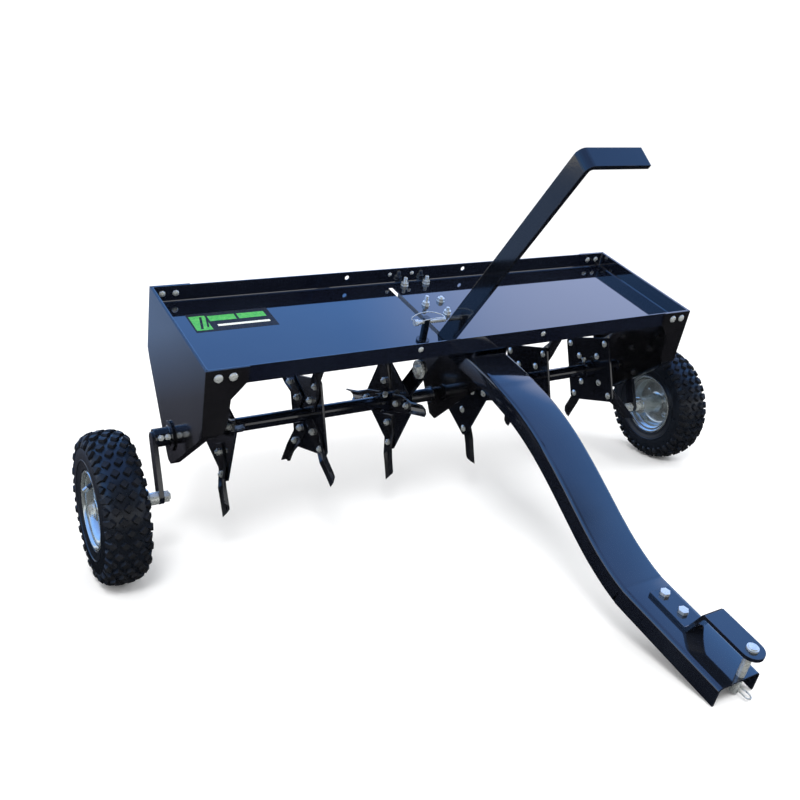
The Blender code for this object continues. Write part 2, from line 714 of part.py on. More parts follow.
# ---------------------------------------------------------------- assembly
def build():
    frame = machine_frame()
    weight_tray(frame)
    for name, side in (("left", -1), ("right", 1)):
        end_panel("end_panel_" + name, side, frame)
        bearing("axle_bearing_" + name, side, frame)
    centre_hanger(frame)
    tongue_riser(frame)
    tongue(frame)
    hitch_strap(frame)
    hitch_bolt("hitch_bolt_rear", HITCH_BOLT_Y[0], frame)
    hitch_bolt("hitch_bolt_front", HITCH_BOLT_Y[1], frame)
    lock_post(frame)

    pin_axis = empty("hitch_pin_axis", frame, (STRAP_X, HITCH_PIN_Y, HITCH_FLAT_Z))
    hitch_pin(pin_axis)
    hairpin_clip(empty("hairpin_axis", pin_axis, (0.0, 0.0, -0.0240)))

    axle = empty("lift_axis", frame, (0.0, 0.0, AXLE_Z))
    lift_axle(axle)
    lift_lever(axle)
    lever_hub(axle)
    lever_bolt(axle)
    for name, side in (("left", -1), ("right", 1)):
        crank("crank_" + name, side, axle)
        wheel_bolt("wheel_bolt_" + name, side, axle)
        hub = crank_vector() + Vector((side * WHEEL_X, 0.0, 0.0))
        wheel_axis = empty("wheel_axis_" + name, axle, hub)
        tyre("tyre_" + name, side, wheel_axis)
        rim("rim_" + name, side, wheel_axis)

    for name, span, stars in (("left", (-0.4975, -0.0580), (0, 1, 2)),
                              ("right", (0.0300, 0.4975), (3, 4, 5))):
        rotor = empty("rotor_axis_" + name, axle, (0.0, 0.0, 0.0))
        rotor_tube("rotor_tube_" + name, span[0], span[1], rotor)
        for index in stars:
            star_plate("star_plate_%d" % (index + 1), index, rotor)
            for quarter in range(4):
                tine("tine_%d_%s" % (index + 1, "abcd"[quarter]), index, quarter, rotor)

    slide = empty("lock_pin_axis", frame, (LOCK_X, LOCK_Y, LOCK_Z))
    lock_pin(slide)
    pin_bail(empty("bail_axis", slide, (-0.0205, 0.0, 0.0)))


build()
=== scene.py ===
"""Looks of the tow-behind core aerator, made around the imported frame.

Pieces are made in the machine frame: +X across the machine, -Y towards the tractor,
+Z up, origin at the middle of the tray's rim. Then they go where the joints say that
the machine stands, which is a little nose-down.
"""
import json
from math import cos, hypot, pi, radians, sin

import bmesh
import bpy
from mathutils import Matrix, Vector


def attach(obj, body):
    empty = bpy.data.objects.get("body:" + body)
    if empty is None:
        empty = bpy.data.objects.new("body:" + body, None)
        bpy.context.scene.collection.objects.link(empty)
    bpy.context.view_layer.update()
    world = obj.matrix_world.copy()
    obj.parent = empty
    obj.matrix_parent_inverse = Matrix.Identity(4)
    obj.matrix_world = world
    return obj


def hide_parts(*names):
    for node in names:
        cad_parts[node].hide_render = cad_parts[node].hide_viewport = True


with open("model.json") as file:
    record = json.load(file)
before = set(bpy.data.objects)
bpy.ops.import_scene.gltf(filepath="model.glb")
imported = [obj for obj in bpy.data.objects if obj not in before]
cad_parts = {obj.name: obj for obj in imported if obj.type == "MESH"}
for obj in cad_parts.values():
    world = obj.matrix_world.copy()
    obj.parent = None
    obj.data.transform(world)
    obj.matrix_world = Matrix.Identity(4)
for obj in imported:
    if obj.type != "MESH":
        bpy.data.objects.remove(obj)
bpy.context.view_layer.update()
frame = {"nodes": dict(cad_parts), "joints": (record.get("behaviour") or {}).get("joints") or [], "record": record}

NODES = frame["nodes"]
JOINTS = {joint["name"]: joint for joint in frame["joints"]}

# ---------------------------------------------------------------- dimensions (m)
AXLE_Z = -0.2115
TRAY_HALF = (0.5050, 0.1415)
DECK_Z = -0.0305
PANEL_FRONT = 0.1443       # half of an end panel's depth
TYRE_R = 0.1280
STAR_X = (-0.4233, -0.2540, -0.0847, 0.0847, 0.2540, 0.4233)
STAR_PHASE = (54.0, 19.0, 64.0, 64.0, 19.0, 17.0)
STAR_HUB_SIDE = (1, 1, -1, -1, 1, -1)
STAR_HALF_THICK = 0.0020
TINE_THICK = 0.0032
HUB_R = 0.0180
TONGUE_X = 0.0250

ACROSS = Vector((1, 0, 0))
UP = Vector(JOINTS["hitch_pin_slide"]["axis"]).normalized()
BACK = -Vector(JOINTS["hairpin_slide"]["axis"]).normalized()
ORIGIN = Vector(JOINTS["lift_lever_turn"]["pos_m"])
ORIGIN = Vector((0.0, ORIGIN.y, ORIGIN.z)) - UP * AXLE_Z
MACHINE = Matrix((ACROSS, BACK, UP)).transposed().to_4x4()
MACHINE.translation = ORIGIN


# ---------------------------------------------------------------- shader helpers
class Shader:
    """A material's node tree, with short calls for the nodes used here."""

    def __init__(self, name):
        self.material = bpy.data.materials.new(name)
        self.material.use_nodes = True
        self.tree = self.material.node_tree
        self.surface = self.tree.nodes["Principled BSDF"]
        self.coords = self.tree.nodes.new("ShaderNodeTexCoord").outputs["Object"]

    def link(self, value, socket):
        if isinstance(value, bpy.types.NodeSocket):
            self.tree.links.new(value, socket)
        else:
            socket.default_value = value

    def set(self, **values):
        for key, value in values.items():
            self.link(value, self.surface.inputs[key.replace("_", " ")])

    def mapped(self, location=(0, 0, 0), rotation=(0, 0, 0), scale=(1, 1, 1)):
        node = self.tree.nodes.new("ShaderNodeMapping")
        node.inputs["Location"].default_value = location
        node.inputs["Rotation"].default_value = rotation
        node.inputs["Scale"].default_value = scale
        self.link(self.coords, node.inputs["Vector"])
        return node.outputs["Vector"]

    def noise(self, scale, detail=2.0, vector=None, rough=0.5):
        node = self.tree.nodes.new("ShaderNodeTexNoise")
        node.inputs["Scale"].default_value = scale
        node.inputs["Detail"].default_value = detail
        node.inputs["Roughness"].default_value = rough
        self.link(vector or self.coords, node.inputs["Vector"])
        return node.outputs["Fac"]

    def ramp(self, factor, *stops):
        node = self.tree.nodes.new("ShaderNodeValToRGB")
        elements = node.color_ramp.elements
        while len(elements) < len(stops):
            elements.new(0.5)
        for element, (place, value) in zip(elements, stops):
            element.position = place
            colour = value if isinstance(value, tuple) else (value,) * 3
            element.color = (*colour, 1.0)
        self.link(factor, node.inputs["Fac"])
        return node.outputs["Color"]

    def math(self, operation, a, b=0.0):
        node = self.tree.nodes.new("ShaderNodeMath")
        node.operation = operation
        self.link(a, node.inputs[0])
        self.link(b, node.inputs[1])
        return node.outputs[0]

    def mix(self, factor, a, b):
        node = self.tree.nodes.new("ShaderNodeMix")
        node.data_type = 'RGBA'
        self.link(factor, node.inputs["Factor"])
        for value, socket in ((a, node.inputs["A"]), (b, node.inputs["B"])):
            if isinstance(value, tuple):
                value = (*value, 1.0)
            self.link(value, [s for s in node.inputs if s.identifier == socket.name + "_Color"][0])
        return [s for s in node.outputs if s.identifier == "Result_Color"][0]

    def bevelled(self, radius):
        node = self.tree.nodes.new("ShaderNodeBevel")
        node.samples = 4
        node.inputs["Radius"].default_value = radius
        return node.outputs["Normal"]

    def bump(self, height, distance, strength=1.0, normal=None):
        node = self.tree.nodes.new("ShaderNodeBump")
        node.inputs["Strength"].default_value = strength
        node.inputs["Distance"].default_value = distance
        self.link(height, node.inputs["Height"])
        if normal is not None:
            self.link(normal, node.inputs["Normal"])
        return node.outputs["Normal"]

    def edge(self, bevel_normal, low, high):
        """One on sharp edges, nought on flats."""
        geometry = self.tree.nodes.new("ShaderNodeNewGeometry")
        node = self.tree.nodes.new("ShaderNodeVectorMath")
        node.operation = 'DOT_PRODUCT'
        self.link(bevel_normal, node.inputs[0])
        self.link(geometry.outputs["Normal"], node.inputs[1])
        return self.ramp(self.math('SUBTRACT', 1.0, node.outputs["Value"]), (low, 0.0), (high, 1.0))


def paint(name, dark, light, rough=(0.05, 0.12), coat=0.6, wear=0.35, peel=1.0, coat_ior=1.5):
    """Powder coat: orange peel, faint scuffs, and edges rubbed paler."""
    s = Shader(name)
    round_edges = s.bevelled(0.0010)
    cloud = s.noise(9.0, 4.0)
    colour = s.ramp(cloud, (0.35, dark), (0.68, light))
    scuff_lines = s.noise(60.0, 5.0, s.mapped(rotation=(0.3, 0.2, 0.5), scale=(0.15, 2.2, 1.0)), 0.7)
    scuffs = s.ramp(scuff_lines, (0.66, 0.0), (0.80, 1.0))
    worn = s.ramp(s.noise(45.0, 6.0), (0.45, 0.0), (0.68, 1.0))
    rubbed = s.math('MULTIPLY', s.edge(round_edges, 0.03, 0.22), worn)
    colour = s.mix(s.math('MULTIPLY', rubbed, wear), colour, (0.16, 0.165, 0.18))
    roughness = s.ramp(s.noise(17.0, 5.0), (0.3, rough[0]), (0.7, rough[1]))
    roughness = s.mix(s.math('MULTIPLY', scuffs, 0.25), roughness, (0.42, 0.42, 0.42))
    surface = s.bump(s.noise(420.0, 2.0), 0.00010 * peel, 0.35, round_edges)
    s.set(Base_Color=colour, Roughness=roughness, Normal=surface, Coat_Weight=coat,
          Coat_Roughness=0.03, Coat_IOR=coat_ior, Metallic=0.0)
    s.link(surface, s.surface.inputs["Coat Normal"])
    return s.material


def zinc(name, base, tint, rough=(0.20, 0.38), grain=900.0):
    """Bright zinc plate with a faint blue and yellow passivation."""
    s = Shader(name)
    round_edges = s.bevelled(0.0004)
    colour = s.ramp(s.noise(70.0, 4.0), (0.35, base), (0.62, tint), (0.8, (0.70, 0.70, 0.66)))
    spots = s.ramp(s.noise(330.0, 4.0), (0.60, 0.0), (0.72, 0.35))
    colour = s.mix(spots, colour, (0.42, 0.44, 0.46))
    roughness = s.ramp(s.noise(120.0, 5.0), (0.3, rough[0]), (0.7, rough[1]))
    surface = s.bump(s.noise(grain, 3.0), 0.00006, 0.4, round_edges)
    s.set(Base_Color=colour, Roughness=roughness, Metallic=0.72, Normal=surface)
    return s.material


def spun_zinc(name, centre):
    """Zinc on a pressed wheel rim: faint rings about the wheel's axis."""
    s = Shader(name)
    about = s.mapped(location=tuple(-c for c in centre))
    rings = s.tree.nodes.new("ShaderNodeTexWave")
    rings.wave_type = 'RINGS'
    rings.rings_direction = 'X'
    rings.inputs["Scale"].default_value = 260.0
    rings.inputs["Distortion"].default_value = 1.5
    rings.inputs["Detail"].default_value = 2.0
    s.link(about, rings.inputs["Vector"])
    colour = s.ramp(s.noise(28.0, 5.0), (0.3, (0.52, 0.58, 0.58)), (0.7, (0.72, 0.77, 0.76)))
    roughness = s.ramp(s.noise(55.0, 4.0), (0.3, 0.12), (0.75, 0.26))
    peel = s.bump(s.noise(500.0, 2.0), 0.00005, 0.3)
    surface = s.bump(rings.outputs["Fac"], 0.00004, 0.25, peel)
    s.set(Base_Color=colour, Roughness=roughness, Metallic=0.84, Normal=surface)
    return s.material


def drawn_steel(name):
    """Bright axle bar with draw lines along it."""
    s = Shader(name)
    lines = s.noise(500.0, 3.0, s.mapped(scale=(0.02, 1.0, 1.0)))
    colour = s.ramp(s.noise(22.0, 5.0), (0.3, (0.36, 0.37, 0.38)), (0.7, (0.56, 0.57, 0.58)))
    roughness = s.ramp(lines, (0.3, 0.22), (0.7, 0.40))
    s.set(Base_Color=colour, Roughness=roughness, Metallic=1.0, Normal=s.bump(lines, 0.00005, 0.4))
    return s.material


def rubber(name, dark, light, rough, gloss):
    """Moulded rubber: fine pits, mould flow, dust in the pores."""
    s = Shader(name)
    colour = s.ramp(s.noise(38.0, 6.0), (0.32, dark), (0.70, light))
    dust = s.ramp(s.noise(260.0, 5.0), (0.58, 0.0), (0.80, 0.5))
    colour = s.mix(dust, colour, tuple(min(1.0, c * 2.1) for c in light))
    roughness = s.ramp(s.noise(90.0, 4.0), (0.3, rough[0]), (0.7, rough[1]))
    pits = s.bump(s.noise(1300.0, 3.0), 0.00012, 0.45)
    surface = s.bump(s.noise(160.0, 3.0), 0.00020, 0.35, pits)
    s.set(Base_Color=colour, Roughness=roughness, Specular_IOR_Level=gloss, Normal=surface)
    return s.material


def print_film(name, base, shade, gloss=0.5):
    """Vinyl film of the label in the tray."""
    s = Shader(name)
    colour = s.ramp(s.noise(160.0, 3.0), (0.35, base), (0.7, shade))
    roughness = s.ramp(s.noise(300.0, 3.0), (0.3, 0.22), (0.7, 0.34))
    s.set(Base_Color=colour, Roughness=roughness, Specular_IOR_Level=gloss,
          Normal=s.bump(s.noise(800.0, 2.0), 0.00004, 0.3))
    return s.material


LOOK = {
    "deck": paint("deck_paint", (0.003, 0.004, 0.009), (0.005, 0.007, 0.013),
                  (0.030, 0.060), 1.0, 0.5, 0.35, 1.75),
    "panel": paint("panel_paint", (0.004, 0.004, 0.005), (0.007, 0.007, 0.008), (0.10, 0.18), 0.6, 0.4),
    "black": paint("black_paint", (0.003, 0.004, 0.007), (0.006, 0.007, 0.011), (0.06, 0.14), 0.5, 0.5),
    "drawbar": paint("drawbar_paint", (0.003, 0.004, 0.008), (0.006, 0.008, 0.013),
                     (0.08, 0.15), 1.0, 0.5, 1.0, 1.75),
    "lever": paint("lever_paint", (0.002, 0.003, 0.005), (0.004, 0.005, 0.008), (0.06, 0.14), 0.5, 0.5, 0.6),
    "tine": paint("tine_paint", (0.004, 0.005, 0.007), (0.010, 0.010, 0.013), (0.12, 0.24), 0.3, 0.9, 1.6),
    "zinc": zinc("zinc_plate", (0.62, 0.66, 0.65), (0.80, 0.83, 0.80)),
    "steel": drawn_steel("drawn_steel"),
    "carcass": rubber("carcass_rubber", (0.003, 0.005, 0.009), (0.006, 0.009, 0.015), (0.26, 0.38), 0.65),
    "knob": rubber("knob_rubber", (0.004, 0.005, 0.007), (0.010, 0.011, 0.014), (0.42, 0.58), 0.42),
}


# ---------------------------------------------------------------- mesh helpers
def piece(name, bm, looks, body, stands_for=(), sharp=32.0, place=MACHINE):
    """A mesh made in the machine frame becomes a piece that rides on a body."""
    bmesh.ops.recalc_face_normals(bm, faces=bm.faces)
    mesh = bpy.data.meshes.new(name)
    bm.to_mesh(mesh)
    bm.free()
    mesh.transform(place)
    mesh.shade_smooth()
    mesh.set_sharp_from_angle(angle=radians(sharp))
    for look in looks:
        mesh.materials.append(LOOK[look] if isinstance(look, str) else look)
    obj = bpy.data.objects.new(name, mesh)
    bpy.context.scene.collection.objects.link(obj)
    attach(obj, body)
    if stands_for:
        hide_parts(*stands_for)
    return obj


def at(point, direction=(0, 0, 1), spin=0.0):
    """Local +Z points along direction from point."""
    turn = Vector(direction).to_track_quat('Z', 'Y').to_matrix().to_4x4()
    return Matrix.Translation(point) @ turn @ Matrix.Rotation(spin, 4, 'Z')


def rings(bm, loops, matrix, closed=True, look=0):
    """Joins loops of points by quads, and closes the two ends with faces."""
    made = [[bm.verts.new(matrix @ Vector(p)) for p in loop] for loop in loops]
    count = len(made[0])
    for a, b in zip(made, made[1:]):
        for i in range(count):
            face = bm.faces.new((a[i], a[(i + 1) % count], b[(i + 1) % count], b[i]))
            face.material_index = look
    if closed:
        for loop in (made[0][::-1], made[-1]):
            bm.faces.new(loop).material_index = look
    return made


def lathe(bm, profile, segments, matrix, closed=True, look=0):
    """Turns (height, radius) points about local Z."""
    angles = [2 * pi * i / segments for i in range(segments)]
    loops = [[(r * cos(a), r * sin(a), z) for a in angles] for z, r in profile]
    return rings(bm, loops, matrix, closed, look)


def ring_solid(bm, profile, segments, matrix, look=0):
    """Turns a closed (height, radius) outline about local Z, with a hole through it."""
    made = lathe(bm, profile, segments, matrix, False, look)
    for i in range(segments):
        j = (i + 1) % segments
        face = bm.faces.new((made[-1][i], made[-1][j], made[0][j], made[0][i]))
        face.material_index = look


def hexagon(bm, matrix, flats, height, look=0):
    """Hexagonal head or nut with its corners chamfered."""
    a = flats / 2
    steps = 24
    base, shoulder, crown = [], [], []
    for i in range(steps):
        t = 2 * pi * i / steps
        r = a / cos((t + pi / 6) % (pi / 3) - pi / 6)
        base.append((r * cos(t), r * sin(t), 0.0))
        shoulder.append((r * cos(t), r * sin(t), height - (r - a) * 0.577 - 0.02 * flats))
        crown.append((0.96 * a * cos(t), 0.96 * a * sin(t), height))
    rings(bm, [base, shoulder, crown], matrix, True, look)


def washer(bm, matrix, radius, thick, look=0):
    e = thick * 0.25
    profile = [(0, radius - e), (e, radius), (thick - e, radius), (thick, radius - e)]
    lathe(bm, profile, 28, matrix, True, look)


def dome(bm, matrix, radius, height, look=0):
    """Round head of a carriage bolt."""
    profile = [(0.0, radius), (0.12 * height, radius)]
    for i in range(1, 6):
        t = i / 6 * pi / 2
        profile.append((height * (0.12 + 0.88 * sin(t)), radius * cos(t)))
    profile.append((height, 0.04 * radius))
    lathe(bm, profile, 20, matrix, True, look)


def thread(bm, matrix, radius, start, end, pitch=0.00125, look=0):
    """Threaded shank: a ridge for every pitch, and a chamfered tip."""
    profile = [(start, radius * 0.9)]
    for i in range(int((end - start - 0.001) / pitch)):
        z = start + i * pitch
        profile += [(z + pitch * 0.15, radius * 0.88), (z + pitch * 0.5, radius),
                    (z + pitch * 0.85, radius * 0.88)]
    profile += [(end - 0.0007, radius * 0.95), (end, radius * 0.72)]
    lathe(bm, profile, 16, matrix, True, look)


def nut_end(bm, point, direction, flats, spin=0.0, stud=0.004, seat=True):
    """Washer, nut and the threaded end that stands out of it."""
    m = at(point, direction, spin)
    lift = 0.0
    if seat:
        washer(bm, m, flats * 0.62, 0.0011)
        lift = 0.0011
    height = flats * 0.46
    hexagon(bm, m @ Matrix.Translation((0, 0, lift)), flats, height)
    thread(bm, m, flats * 0.30, lift + height - 0.001, lift + height + stud)


# ---------------------------------------------------------------- wheels
KNOB_HEIGHT = 0.0058
TREAD_ROWS = 40
SECTION = [  # half of the tyre's outside, from the crown to the bead: x, radius
    (0.0000, TYRE_R - 0.0058), (0.0090, TYRE_R - 0.0060), (0.0180, TYRE_R - 0.0074),
    (0.0250, TYRE_R - 0.0104), (0.0305, TYRE_R - 0.0150), (0.0340, TYRE_R - 0.0210),
    (0.0361, TYRE_R - 0.0280), (0.0370, TYRE_R - 0.0360), (0.0366, TYRE_R - 0.0430),
    (0.0372, TYRE_R - 0.0440), (0.0370, TYRE_R - 0.0458), (0.0358, TYRE_R - 0.0466),
    (0.0345, TYRE_R - 0.0530), (0.0332, 0.0710), (0.0334, 0.0698), (0.0330, 0.0686),
    (0.0318, 0.0678), (0.0300, 0.0640), (0.0288, 0.0585)]


def on_section(u):
    """Point (x, r) and outward direction at distance u along the tyre's outside."""
    side = -1.0 if u < 0 else 1.0
    left = abs(u)
    for (x0, r0), (x1, r1) in zip(SECTION, SECTION[1:]):
        span = hypot(x1 - x0, r1 - r0)
        if left <= span:
            t = left / span
            place = side * (x0 + (x1 - x0) * t), r0 + (r1 - r0) * t
            return *place, -side * (r1 - r0) / span, (x1 - x0) / span
        left -= span
    raise ValueError("beyond the bead")


LUG_SECTION = ((-1.0, -0.0008), (-0.90, 0.72), (-0.70, 1.0), (0.70, 1.0), (0.90, 0.72), (1.0, -0.0008))


def add_lug(bm, angle, stations, look=1):
    """A tread block lofted through (u, half width, height) stations."""
    loops = []
    for i, (u, half, height) in enumerate(stations):
        x, r, nx, nr = on_section(u)
        inset = 0.0
        if i == 0 or i == len(stations) - 1:
            other = stations[1][0] if i == 0 else stations[-2][0]
            inset = 0.0014 if other > u else -0.0014
        xt, rt, nxt, nrt = on_section(u + inset)
        loop = []
        for share, lift in LUG_SECTION:
            rise = lift * height if lift > 0 else lift
            top = lift > 0
            px = (xt + nxt * rise) if top else (x + nx * rise)
            pr = (rt + nrt * rise) if top else (r + nr * rise)
            a = angle + share * half / TYRE_R
            loop.append((px, pr * cos(a), pr * sin(a)))
        loops.append(loop)
    rings(bm, loops, Matrix.Identity(4), True, look)


def tyre(name, body, node, centre):
    bm = bmesh.new()
    outline = [(x, r) for x, r in SECTION]
    outline = outline + [(-x, r) for x, r in reversed(outline[1:])]
    ring_solid(bm, outline, 96, at((0, 0, 0), (1, 0, 0)))
    for row in range(TREAD_ROWS):
        angle = 2 * pi * row / TREAD_ROWS
        odd = row % 2
        for column in ((-0.0093, 0.0093) if odd else (-0.0186, 0.0, 0.0186)):
            add_lug(bm, angle, [(column - 0.0076, 0.0006, KNOB_HEIGHT), (column, 0.0092, KNOB_HEIGHT),
                                (column + 0.0076, 0.0006, KNOB_HEIGHT)])
        start = 0.0200 if odd else 0.0270
        for side in (-1, 1):
            stations = [(start, 0.0006, KNOB_HEIGHT), (start + 0.0072, 0.0086, KNOB_HEIGHT),
                        (start + 0.0115, 0.0062, 0.0046), (0.0415, 0.0050, 0.0026),
                        (0.0450, 0.0040, 0.0006)]
            add_lug(bm, angle, [(side * u, half, h) for u, half, h in stations][::side])
    place = MACHINE @ Matrix.Translation(centre)
    return piece(name, bm, ("carcass", "knob"), body, (node,), 28.0, place)


HUB_INNER = 0.0600        # wheel's middle plane to its hub's inner end
HUB_OUTER = 0.0260
RIM_HALF = [(0.0075, 0.0190), (0.0050, 0.0198),
            (0.0036, 0.0222), (0.0030, 0.0250), (0.0030, 0.0455), (0.0040, 0.0480), (0.0070, 0.0494),
            (0.0150, 0.0500), (0.0200, 0.0512), (0.0245, 0.0536), (0.0268, 0.0570), (0.0285, 0.0596),
            (0.0318, 0.0612), (0.0334, 0.0634), (0.0332, 0.0656), (0.0318, 0.0664), (0.0303, 0.0645),
            (0.0289, 0.0600), (0.0285, 0.0572)]


def hub_end(reach):
    return [(reach, 0.0067), (reach, 0.0178), (reach - 0.0010, 0.0190)]


def rim(name, body, node, centre, side):
    place = MACHINE @ Matrix.Translation(centre)
    bm = bmesh.new()
    outer = hub_end(HUB_OUTER) + RIM_HALF
    inner = hub_end(HUB_INNER) + RIM_HALF
    outline = [(side * x, r) for x, r in outer] + [(-side * x, r) for x, r in reversed(inner)]
    ring_solid(bm, outline, 96, at((0, 0, 0), (1, 0, 0)))
    for i in range(4):
        a = radians(25 + 90 * i)
        spot = Vector((0.0, 0.0345 * cos(a), 0.0345 * sin(a)))
        for face in (-1, 1):
            seat = spot + Vector((face * 0.0029, 0, 0))
            if face == side:
                nut_end(bm, seat, (face, 0, 0), 0.0100, a, 0.003)
            else:
                dome(bm, at(seat, (face, 0, 0)), 0.0062, 0.0030)
    a = radians(70)
    foot = Vector((side * 0.0180, 0.0500 * cos(a), 0.0500 * sin(a)))
    out = Vector((side * 0.75, -0.5 * cos(a), -0.5 * sin(a)))
    stem = at(foot, out)
    sleeve = [(-0.004, 0.0058), (0.004, 0.0052), (0.006, 0.0042), (0.019, 0.0038), (0.020, 0.0030)]
    cap = [(0.019, 0.0040), (0.0195, 0.0043), (0.0270, 0.0043), (0.0280, 0.0036)]
    lathe(bm, sleeve, 18, stem, True, 1)
    lathe(bm, cap, 18, stem, True, 0)
    world = place.translation
    looks = (spun_zinc("rim_zinc_" + name[-5:].strip("_"), world), "carcass")
    return piece(name, bm, looks, body, (node,), 30.0, place)


def wheels():
    for name, side in (("left", -1), ("right", 1)):
        joint = Vector(JOINTS["wheel_%s_spin" % name]["pos_m"])
        centre = MACHINE.inverted() @ joint
        tyre("tyre_tread_" + name, "wheel_" + name, "tyre_" + name, centre)
        rim("wheel_rim_" + name, "wheel_" + name, "rim_" + name, centre, side)


# ---------------------------------------------------------------- drawbar
TONGUE_PATH = ((0.138, -0.0490), (-0.170, -0.0490), (-0.235, -0.0520), (-0.280, -0.0570),
               (-0.320, -0.0650), (-0.360, -0.0765), (-0.400, -0.0915), (-0.437, -0.1075),
               (-0.475, -0.1250), (-0.510, -0.1410), (-0.545, -0.1550), (-0.580, -0.1655),
               (-0.610, -0.1712), (-0.638, -0.1725), (-0.820, -0.1725))
TONGUE_HALF = 0.0415
TONGUE_DEPTH = 0.0350
TONGUE_SHEET = 0.0030
TONGUE_BEND = 0.0070


def smooth_path(points, steps):
    """Catmull-Rom curve through the points."""
    out = []
    for i in range(len(points) - 1):
        p0, p1, p2, p3 = (Vector(points[min(max(i + k, 0), len(points) - 1)]) for k in (-1, 0, 1, 2))
        long = (p2 - p1).length > 0.1
        for step in range(1 if long else steps):
            t = step / steps
            out.append(0.5 * ((2 * p1) + (p2 - p0) * t + (2 * p0 - 5 * p1 + 4 * p2 - p3) * t * t
                              + (3 * p1 - p0 - 3 * p2 + p3) * t ** 3))
    out.append(Vector(points[-1]))
    return out


def channel_section():
    """Outline of the channel, open side down: across, depth."""
    half, sheet, bend = TONGUE_HALF, TONGUE_SHEET, TONGUE_BEND
    right = [(half - 0.0008, TONGUE_DEPTH), (half, TONGUE_DEPTH - 0.0008)]
    turns = (0, pi / 8, pi / 4, 3 * pi / 8, pi / 2)
    right += [(half - bend + bend * cos(a), bend - bend * sin(a)) for a in turns]
    outer = right + [(-x, d) for x, d in reversed(right)]
    inner_bend = bend - sheet
    left = [(-(half - sheet), TONGUE_DEPTH - 0.0002)]
    turns = (0, pi / 6, pi / 3, pi / 2)
    left += [(-(half - bend) - inner_bend * cos(a), bend - inner_bend * sin(a)) for a in turns]
    return outer + left + [(-x, d) for x, d in reversed(left)]


def drawbar():
    path = smooth_path(TONGUE_PATH, 6)
    section = channel_section()
    loops = []
    for i, p in enumerate(path):
        a, b = path[max(i - 1, 0)], path[min(i + 1, len(path) - 1)]
        along = (b - a).normalized()
        if i >= len(path) - 2:
            along = Vector((-1.0, 0.0))
        down = Vector((along.y, -along.x))
        if down.y > 0:
            down = -down
        loops.append([(TONGUE_X + x, p.x + down.x * d, p.y + down.y * d) for x, d in section])
    bm = bmesh.new()
    rings(bm, loops, Matrix.Identity(4))
    piece("drawbar_channel", bm, ("drawbar",), "machine", ("tongue",), 40.0)


# ---------------------------------------------------------------- fasteners
def tray_bolts():
    """Round heads on the corners' front flanges, nuts inside the back wall."""
    bm = bmesh.new()
    front = -PANEL_FRONT
    for x in (-0.4873, -0.4637, 0.4637, 0.4873):
        dome(bm, at((x, front, -0.0145), (0, -1, 0)), 0.0072, 0.0038)
        dome(bm, at((x, TRAY_HALF[1] - 0.0020, -0.0145), (0, -1, 0)), 0.0058, 0.0030)
        nut_end(bm, (x, PANEL_FRONT, -0.0145), (0, 1, 0), 0.0110, x * 9, 0.003)
    for x in (-0.131, 0.132):
        dome(bm, at((x, -TRAY_HALF[1], -0.0110), (0, -1, 0)), 0.0050, 0.0026)
    piece("corner_bolts", bm, ("zinc",), "machine")


DECK_BOLTS = (  # across, back, stud above its nut, turn of the nut
    (-0.013, 0.1255, 0.010, 0.2), (0.037, 0.1270, 0.009, 0.7), (-0.013, 0.041, 0.012, 0.4),
    (0.026, 0.050, 0.003, 0.1), (0.011, 0.0004, 0.006, 0.5))


def deck_bolts():
    """The bolts through the deck that hold the hanger, the tongue and the lock."""
    bm = bmesh.new()
    for x, y, stud, spin in DECK_BOLTS:
        nut_end(bm, (x, y, DECK_Z), (0, 0, 1), 0.0130, spin, stud)
    for x, y in ((-0.042, 0.1395), (0.008, 0.1395)):
        dome(bm, at((x, y, -0.0120), (0, -1, 0)), 0.0042, 0.0022)
    piece("deck_bolts", bm, ("zinc",), "machine")


def star_bolts(name, body, stars):
    """Two bolts through every tine and its plate, and a set bolt on every hub."""
    bm = bmesh.new()
    for index in stars:
        x = STAR_X[index]
        outward = -1 if x < 0 else 1
        for quarter in range(4):
            a = radians(STAR_PHASE[index] + 90 * quarter)
            radial = Vector((0.0, cos(a), sin(a)))
            for r in (0.0410, 0.0800):
                spot = Vector((x, 0.0, AXLE_Z)) + radial * r
                over_tine = spot + Vector((outward * (STAR_HALF_THICK + TINE_THICK + 0.0003), 0, 0))
                over_plate = spot - Vector((outward * STAR_HALF_THICK, 0, 0))
                left_face, right_face = (over_tine, over_plate) if outward < 0 else (over_plate, over_tine)
                if outward < 0:
                    nut_end(bm, left_face, (-1, 0, 0), 0.0110, a + r * 40, 0.003, False)
                    dome(bm, at(right_face, (1, 0, 0)), 0.0070, 0.0036)
                else:
                    dome(bm, at(left_face, (-1, 0, 0)), 0.0070, 0.0036)
                    nut_end(bm, right_face, (1, 0, 0), 0.0110, a + r * 40, 0.003, False)
        hub_x = x + STAR_HUB_SIDE[index] * (STAR_HALF_THICK + 0.0130)
        a = radians(STAR_PHASE[index] + 45)
        radial = Vector((0.0, cos(a), sin(a)))
        head = Vector((hub_x, 0.0, AXLE_Z)) + radial * (HUB_R - 0.0006)
        thread(bm, at(head, radial), 0.0038, 0.0, 0.0050)
        hexagon(bm, at(head + radial * 0.0045, radial, 0.3), 0.0100, 0.0048)
    piece(name, bm, ("zinc",), body)


CRANK_BOLT_X = (0.5175, 0.5290)
CRANK_BOLT_WAY = Vector((0.0, -0.86, 0.51)).normalized()
CRANK_BOLT_SEAT = 0.0154     # just inside the boss's surface


def crank_bolts():
    """Two bolts on each crank's boss."""
    bm = bmesh.new()
    for side in (-1, 1):
        for x in CRANK_BOLT_X:
            spot = Vector((side * x, 0.0, AXLE_Z)) + CRANK_BOLT_WAY * CRANK_BOLT_SEAT
            nut_end(bm, spot, CRANK_BOLT_WAY, 0.0095, 0.3, 0.001, False)
    piece("crank_boss_bolts", bm, ("zinc",), "lift")


